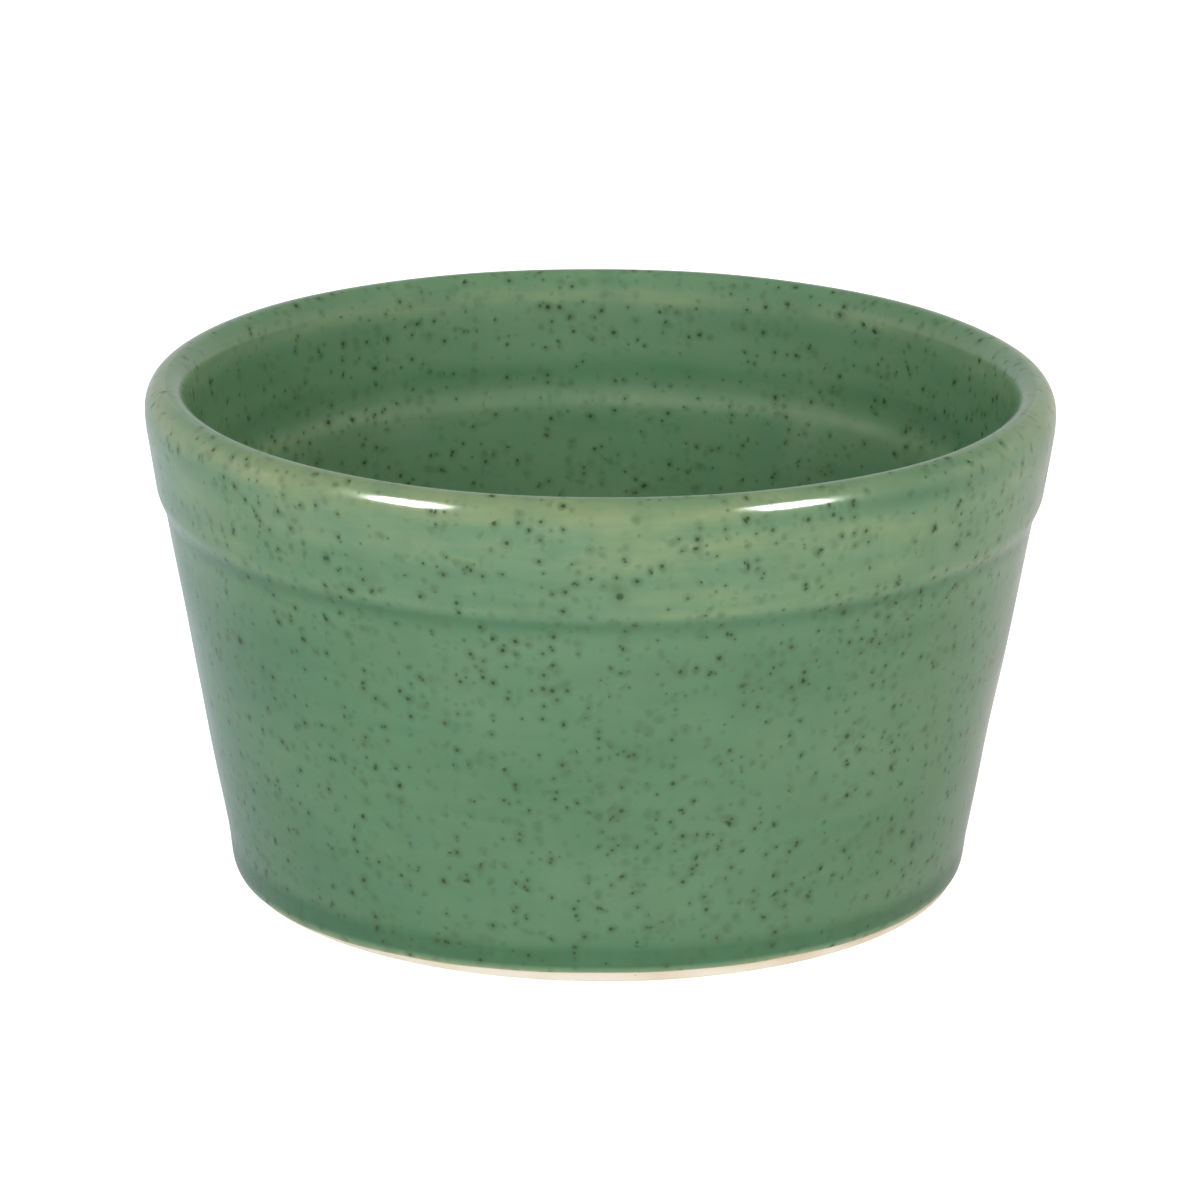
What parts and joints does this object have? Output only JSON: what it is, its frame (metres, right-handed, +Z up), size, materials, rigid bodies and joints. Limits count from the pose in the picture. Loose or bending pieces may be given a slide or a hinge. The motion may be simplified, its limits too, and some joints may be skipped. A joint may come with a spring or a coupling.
{
  "type": "ramekin",
  "caption": "Round stoneware ramekin with a tapered wall, a collared rim, an inner stacking step and a speckled green glaze over a bare clay foot.",
  "frame": {"origin": "on the table, at the centre of the foot ring", "axes": "+Z up along the axis that the ramekin was turned on; X and Y lie on the table, and every direction round the axis is alike"},
  "size_m": [0.1, 0.1, 0.056],
  "materials": {
    "bare_stoneware": "unglazed, fine-grained buff stoneware, matt",
    "speckled_green_glaze": "glossy celadon green with iron speckles, breaking paler on the edges"
  },
  "bodies": {
    "root": {"stoneware_body": "bare_stoneware", "glaze_coat": "speckled_green_glaze", "underside_glaze": "speckled_green_glaze"}
  },
  "joints": []
}
